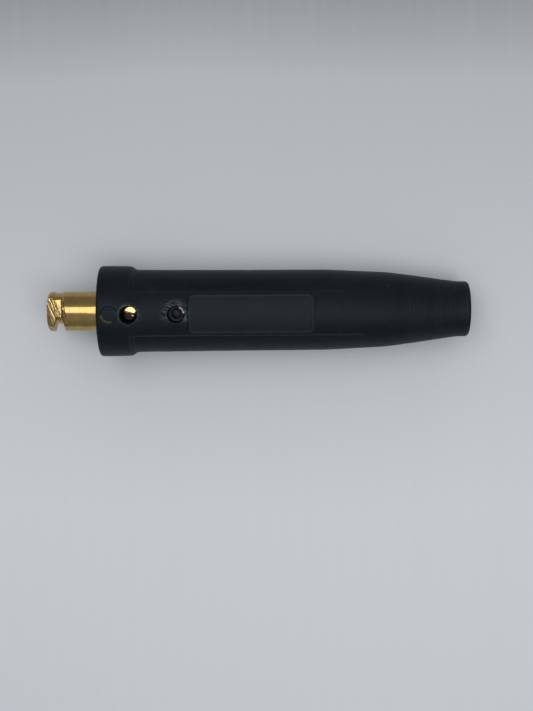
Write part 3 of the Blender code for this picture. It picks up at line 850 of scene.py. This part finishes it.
def build_plug(material):
    outline = [
        (TIP, 0.0),
        (TIP, 4.0),
        (TIP, 7.6),
        (TIP + 0.05, 8.1),
        (TIP + 0.2, 8.6),
        (TIP + 0.45, 9.0),
        (TIP + 0.8, 9.3),
        (TIP + 1.2, 9.47),
        (TIP + 1.6, 9.525),
        (TIP + 1.85, 9.525),
        (-16.0, 9.525),
        (-15.7, 9.525),
        (-14.0, 9.525),
        (-5.0, 9.525),
        (22.0, 9.525),
        (22.0, 13.6),
        (22.6, 14.2),
        (40.0, 14.2),
        (59.4, 14.2),
        (60.0, 13.6),
        (60.0, 8.7),
        (59.2, 7.9),
        (40.0, 7.9),
        (29.3, 7.9),
        (24.55, 0.0),
    ]
    obj = placed("plug_brass", to_mesh(lathe(outline, 128), "plug_brass"), [material])
    angles = [-9.0, -5.0, 0.0, 5.0, 10.0, 14.0, 17.8, 20.96]
    slot = swept(slot_section, angles + [20.96 + (205.0 - 20.96) * k / 60 for k in range(1, 61)])
    relief = swept(relief_section, [-150.0 + 190.0 * k / 60 for k in range(61)])
    near, far = (-20.66, -2.11), (-27.78, 13.68)
    entry = hull(
        [
            (x + lean * rise, y, FLAT + rise)
            for rise in (0.0, 4.7)
            for x, y, lean in (
                (far[0], far[1], -0.51),
                (near[0], near[1], -0.51),
                (-18.3, near[1], 0.42),
                (-18.55, far[1], 0.42),
            )
        ]
    )
    # narrow facet along the top of the lead-in wall, and the lobe's outer slope
    facet = hull([(x, y, 7.85 + 0.17 * (x + 21.2) + rise) for x in (-27.0, -20.8) for y in (-6.0, 7.6) for rise in (0.0, 3.0)])
    across, along = Vector((-0.882, -0.470, 0.0)), Vector((0.470, -0.882, 0.085))
    start = Vector((-24.85, 0.1, 7.25))
    slope = hull(
        [
            start + along * u + across * v + Vector((0.0, 0.0, -0.315 * v + rise))
            for u in (-6.0, 8.4)
            for v in (-1.2, 9.0)
            for rise in (0.0, 6.0)
        ]
    )
    # coarse cutter marks left across the flat, beside the lead-in wall
    marks = []
    for (x0, y0), (x1, y1), half, depth in (
        ((-23.25, 6.8), (-22.0, 3.5), 0.42, 0.26),
        ((-20.95, 4.4), (-19.25, -1.3), 0.33, 0.20),
        ((-22.75, 4.7), (-20.85, -1.7), 0.42, 0.16),
        ((-21.9, 5.6), (-21.0, 2.6), 0.25, 0.12),
    ):
        head, tail = Vector((x0, y0, FLAT)), Vector((x1, y1, FLAT))
        side = (tail - head).cross(Vector((0.0, 0.0, 1.0))).normalized() * half
        lift = Vector((0.0, 0.0, depth))
        marks.append(hull([head - lift, tail - lift, head - side * 3 + lift * 2, head + side * 3 + lift * 2, tail - side * 3 + lift * 2, tail + side * 3 + lift * 2]))
    clamp_hole = lathe([(4.0, 0.0), (4.0, 4.9), (20.0, 4.9), (20.0, 0.0)], 48, "Z")
    bmesh.ops.translate(clamp_hole, verts=clamp_hole.verts, vec=Vector((CLAMP_X, 0, 0)) * MM)
    retainer_hole = lathe([(2.8, 0.0), (2.8, 2.55), (20.0, 2.55), (20.0, 0.0)], 32, "Z")
    bmesh.ops.translate(retainer_hole, verts=retainer_hole.verts, vec=Vector((RETAINER_X, 0, 0)) * MM)
    boolean(obj, [relief, slot, entry, facet, slope, clamp_hole, retainer_hole] + marks)
    soften(obj, 0.12, 2, 28.0)
    mesh = finished(obj.data, 30.0)
    p = points_of(mesh)
    x, y, z = p[:, 0], p[:, 1], p[:, 2]
    r = np.hypot(y, z)
    milled = np.where((x < -16.9) & (r < 8.9) & (x > TIP + 0.3), 1.0, 0.0)
    lobe = (x < -20.9) & (z > 0.0) & (y < 5.5)
    milled = np.where(lobe & (milled < 0.5), 1.0, milled)
    paint_corners(mesh, "milled", milled, lambda normal: normal.x > -0.93)
    # painted shade: the barrel darkened round the retaining screw's hole, where the hole's walls shade it
    paint(mesh, "painted_shade", np.where((x > 9.0) & (x < 21.5) & (z > 5.0), smooth(6.2, 5.2, np.hypot(x - RETAINER_X, y)), 0.0))
    return obj


# ---------------------------------------------------------------------------
# Screws and shoe
# ---------------------------------------------------------------------------
def build_retainer(material):
    outline = [
        (3.4, 0.0),
        (3.4, 1.85),
        (3.8, 2.25),
        (9.85, 2.25),
        (9.85, 3.4),
        (9.95, 3.5),
        (11.35, 3.5),
        (11.55, 3.42),
        (11.64, 3.25),
    ]
    outline += [(11.75 - 0.06 * (r / 2.8) ** 2, r) for r in (3.0, 2.75, 2.5, 2.25, 2.0, 1.75, 1.5, 1.25, 1.0, 0.75, 0.5, 0.25, 0.0)]
    bm = lathe(outline, 112, "Z")
    bmesh.ops.translate(bm, verts=bm.verts, vec=Vector((RETAINER_X, 0, 0)) * MM)
    obj = placed("retainer_brass", to_mesh(bm, "retainer_brass"), [material])
    slot = bmesh.new()
    bmesh.ops.create_cube(slot, size=1.0)
    bmesh.ops.scale(slot, verts=slot.verts, vec=Vector((12.0, 1.1, 1.7)) * MM)
    bmesh.ops.rotate(slot, verts=slot.verts, cent=(0, 0, 0), matrix=Matrix.Rotation(math.radians(-14.0), 3, "Z"))
    bmesh.ops.translate(slot, verts=slot.verts, vec=Vector((RETAINER_X, 0.0, 11.75)) * MM)
    boolean(obj, [slot])
    soften(obj, 0.1, 2, 28.0)
    mesh = finished(obj.data, 30.0)
    p = points_of(mesh)
    paint(mesh, "milled", np.zeros(len(p)))
    # painted shade: the head darkened below a ragged line across it and round its outer rim, where the hole shades
    # it; its upper part stays lit
    head = p[:, 2] > 10.6
    across = [-3.5, -2.9, -1.3, 0.5, 0.85, 1.3, 1.8, 1.95, 2.4, 2.76, 3.0, 3.5]
    edge_at = [1.1, 0.6, -0.2, -0.28, -1.0, -1.3, -1.0, 0.0, 0.6, 1.15, 1.9, 2.6]
    ragged = np.interp(p[:, 0] - RETAINER_X, across, edge_at)
    painted_shade = np.where(head, smooth(ragged + 0.08, ragged - 0.22, p[:, 1]), 1.0)
    painted_shade = np.maximum(painted_shade, np.where(head, smooth(3.2, 3.4, np.hypot(p[:, 0] - RETAINER_X + 0.3, p[:, 1])), 1.0))
    paint(mesh, "painted_shade", painted_shade)
    return obj


def build_clamp(material):
    """Screw with a fine rolled thread on its barrel and a hex key socket."""
    segments, pitch = 64, 1.5875
    low, high = 4.9, 13.9
    bm = bmesh.new()
    rows = []

    def ring(z, radius, thread=0.0):
        row = []
        for k in range(segments):
            a = 2 * math.pi * k / segments
            phase = (z / pitch - k / segments) % 1.0
            crest = abs(2 * phase - 1.0)
            rr = radius - thread * (1.0 - min(1.0, crest * 1.25))
            row.append(bm.verts.new(Vector((CLAMP_X + rr * math.cos(a), rr * math.sin(a), z)) * MM))
        rows.append(row)

    tip = bm.verts.new(Vector((CLAMP_X, 0, 3.2)) * MM)
    for z, radius in ((3.2, 1.5), (3.35, 1.95), (3.7, 2.2), (4.9, 2.2), (4.9, 3.6)):
        ring(z, radius)
    steps = 56
    for i in range(steps + 1):
        z = low + 0.15 + (high - low - 0.3) * i / steps
        painted_falloff = min(1.0, (z - low) / 0.8, (high - z) / 0.8)
        ring(z, 4.6 - 0.75 * (1 - painted_falloff), 0.62 * painted_falloff)
    ring(high, 3.75)
    ring(high - 0.02, 3.55)
    ring(high - 0.2, 2.5)
    top = bm.verts.new(Vector((CLAMP_X, 0, high - 0.2)) * MM)
    for a, b in zip(rows, rows[1:]):
        for k in range(segments):
            n = (k + 1) % segments
            bm.faces.new((a[k], a[n], b[n], b[k]))
    for k in range(segments):
        n = (k + 1) % segments
        bm.faces.new((tip, rows[0][n], rows[0][k]))
        bm.faces.new((top, rows[-1][k], rows[-1][n]))
    bmesh.ops.recalc_face_normals(bm, faces=bm.faces)
    obj = placed("clamp_steel", to_mesh(bm, "clamp_steel"), [material])
    corner = 4.76 / 2 / math.cos(math.pi / 6)
    key = lathe(
        [(high - 5.6, 0.0), (high - 4.4, corner), (high - 0.18, corner), (high + 0.12, corner + 0.34), (high + 2.0, corner + 0.34), (high + 2.0, 0.0)],
        6,
        "Z",
    )
    bmesh.ops.rotate(key, verts=key.verts, cent=(0, 0, 0), matrix=Matrix.Rotation(math.radians(30.0), 3, "Z"))
    bmesh.ops.translate(key, verts=key.verts, vec=Vector((CLAMP_X, 0, 0)) * MM)
    boolean(obj, [key])
    mesh = finished(obj.data, 30.0)
    p = points_of(mesh)
    rho = np.hypot(p[:, 0] - CLAMP_X, p[:, 1])
    turn = np.arctan2(p[:, 1], p[:, 0] - CLAMP_X)
    # painted highlight: a lighter arc on the lower (-Y) side of the head's rim; the key socket and its rim painted
    # lighter too
    lower = 0.05 + 0.35 * np.clip(np.sin(-turn - 0.2), 0.0, 1.0)
    paint(mesh, "wear_and_highlight", np.where(p[:, 2] > 13.3, lower * bell(rho - 3.75, 0.3) + 0.2 * bell(rho - 2.75, 0.3), np.where(rho < 2.6, 1.0, 0.0)))
    # bare-metal crescent on the head's rim towards +X and +Y: worn metal in part, painted highlight in part
    bare_and_highlight = smooth(-0.1, 0.25, turn) * (1 - smooth(0.95, 1.3, turn)) * smooth(3.2, 3.4, rho) * (p[:, 2] > 13.3)
    paint(mesh, "bare_and_highlight", bare_and_highlight)
    return obj


rubber = rubber_material()
brass = brass_material("plug_brass")
screw_brass = brass_material("screw_brass", (0.60, 0.44, 0.21), (0.50, 0.34, 0.15), 0.05)
steel = steel_material()
copper = copper_material()

sleeve = settle(build_sleeve(rubber))
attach(sleeve, "connector_body")
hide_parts("insulator_sleeve")

plug = settle(build_plug(brass))
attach(plug, "connector_body")
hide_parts("plug_body")

retainer = settle(build_retainer(screw_brass))
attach(retainer, "connector_body")
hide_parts("retaining_screw")

clamp = settle(build_clamp(steel))
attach(clamp, "screw")
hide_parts("clamp_screw")

shoe = frame["nodes"]["clamp_shoe"]
shoe.data.materials.clear()
shoe.data.materials.append(copper)
shoe_edge = shoe.modifiers.new("soften", "BEVEL")
shoe_edge.width = 0.00018
shoe_edge.segments = 2
shoe_edge.limit_method = "ANGLE"
shoe_edge.angle_limit = math.radians(35.0)

# ---------------------------------------------------------------------------
# Stage, camera and light, laid out as the photo's: from straight above the
# body, with the connector rolled about its own axis so that its screws and
# pad face a little below the picture's middle.
# ---------------------------------------------------------------------------
ROLL = math.radians(7.3)
PX = 0.4835 * MM
DISTANCE = 0.628
FOOT_PX = (266.5, 355.5)
AXIS_PX_Y = 310.1

right = AXIS_X
up = AXIS_Y * math.cos(ROLL) - AXIS_Z * math.sin(ROLL)
back = AXIS_Y * math.sin(ROLL) + AXIS_Z * math.cos(ROLL)


def picture_point(px, py, height=0.0):
    """World point that shows at a picture pixel, at a height above the connector's axis."""
    station = (px - 101.5) * PX
    on_axis = ORIGIN + AXIS_X * station
    return on_axis + up * (AXIS_PX_Y - py) * PX + back * height


camera_data = bpy.data.cameras.new("camera")
camera = bpy.data.objects.new("camera", camera_data)
bpy.context.scene.collection.objects.link(camera)
camera_data.sensor_fit = "VERTICAL"
camera_data.sensor_height = 36.0
camera_data.lens = 18.0 / (711 / 2 * PX / DISTANCE)
camera_data.clip_start = 0.01
camera_data.clip_end = 20.0
eye = picture_point(*FOOT_PX, DISTANCE)
look = back
turn = math.radians(0.39)
side = right * math.cos(turn) - up * math.sin(turn)
cam_y = look.cross(side).normalized()
cam_x = cam_y.cross(look).normalized()
camera.matrix_world = Matrix.Translation(eye) @ Matrix(
    [
        [cam_x.x, cam_y.x, look.x],
        [cam_x.y, cam_y.y, look.y],
        [cam_x.z, cam_y.z, look.z],
    ]
).to_4x4()
bpy.context.scene.camera = camera

ground = bmesh.new()
bmesh.ops.create_grid(ground, x_segments=8, y_segments=8, size=4.0)
floor_mesh = to_mesh(ground, "floor")
floor_mesh.materials.append(floor_material())
floor = bpy.data.objects.new("floor", floor_mesh)
bpy.context.scene.collection.objects.link(floor)
floor.location = (0.0, 0.0, -0.00005)


def area_light(name, position, target, size, power, colour=(1.0, 1.0, 1.0)):
    data = bpy.data.lights.new(name, "AREA")
    data.shape = "RECTANGLE"
    data.size, data.size_y = size
    data.energy = power
    data.color = colour
    light = bpy.data.objects.new(name, data)
    bpy.context.scene.collection.objects.link(light)
    direction = (Vector(position) - Vector(target)).normalized()
    light.matrix_world = Matrix.Translation(position) @ direction.to_track_quat("Z", "Y").to_matrix().to_4x4()
    return light


middle = picture_point(266.5, 310.4)
lamp = area_light("overhead", middle + back * 0.85 - up * 0.085, middle, (1.25, 0.385), 3.6, (0.97, 0.985, 1.0))
soft = area_light("soft_box", middle + back * 1.1 + up * 0.04, middle, (1.1, 1.35), 4.6, (0.97, 0.985, 1.0))
soft.visible_glossy = False
side = area_light("side_box", middle + back * 0.6 + up * 0.9, middle, (1.3, 0.8), 1.8, (0.97, 0.985, 1.0))
side.visible_glossy = False

world = bpy.data.worlds.new("studio")
world.use_nodes = True
background = next(n for n in world.node_tree.nodes if n.type == "BACKGROUND")
world_nodes, world_links = world.node_tree.nodes, world.node_tree.links
direction = world_nodes.new("ShaderNodeTexCoord")
parts = world_nodes.new("ShaderNodeSeparateXYZ")
world_links.new(direction.outputs["Generated"], parts.inputs["Vector"])
overhead_glow = world_nodes.new("ShaderNodeMapRange")
overhead_glow.interpolation_type = "SMOOTHSTEP"
overhead_glow.inputs["From Min"].default_value = 0.45
overhead_glow.inputs["From Max"].default_value = 0.92
overhead_glow.inputs["To Min"].default_value = 0.28
overhead_glow.inputs["To Max"].default_value = 0.42
world_links.new(parts.outputs["Z"], overhead_glow.inputs["Value"])
along_x = world_nodes.new("ShaderNodeMath")
along_x.operation = "ABSOLUTE"
world_links.new(parts.outputs["X"], along_x.inputs[0])
end_shade = world_nodes.new("ShaderNodeMapRange")
end_shade.interpolation_type = "SMOOTHSTEP"
end_shade.inputs["From Min"].default_value = 0.45
end_shade.inputs["From Max"].default_value = 0.90
end_shade.inputs["To Min"].default_value = 1.0
end_shade.inputs["To Max"].default_value = 0.62
world_links.new(along_x.outputs[0], end_shade.inputs["Value"])
strength = world_nodes.new("ShaderNodeMath")
strength.operation = "MULTIPLY"
world_links.new(overhead_glow.outputs["Result"], strength.inputs[0])
world_links.new(end_shade.outputs["Result"], strength.inputs[1])
world_links.new(strength.outputs[0], background.inputs["Strength"])
background.inputs["Color"].default_value = (0.92, 0.95, 1.0, 1.0)
bpy.context.scene.world = world
bpy.context.scene.view_settings.view_transform = "Standard"
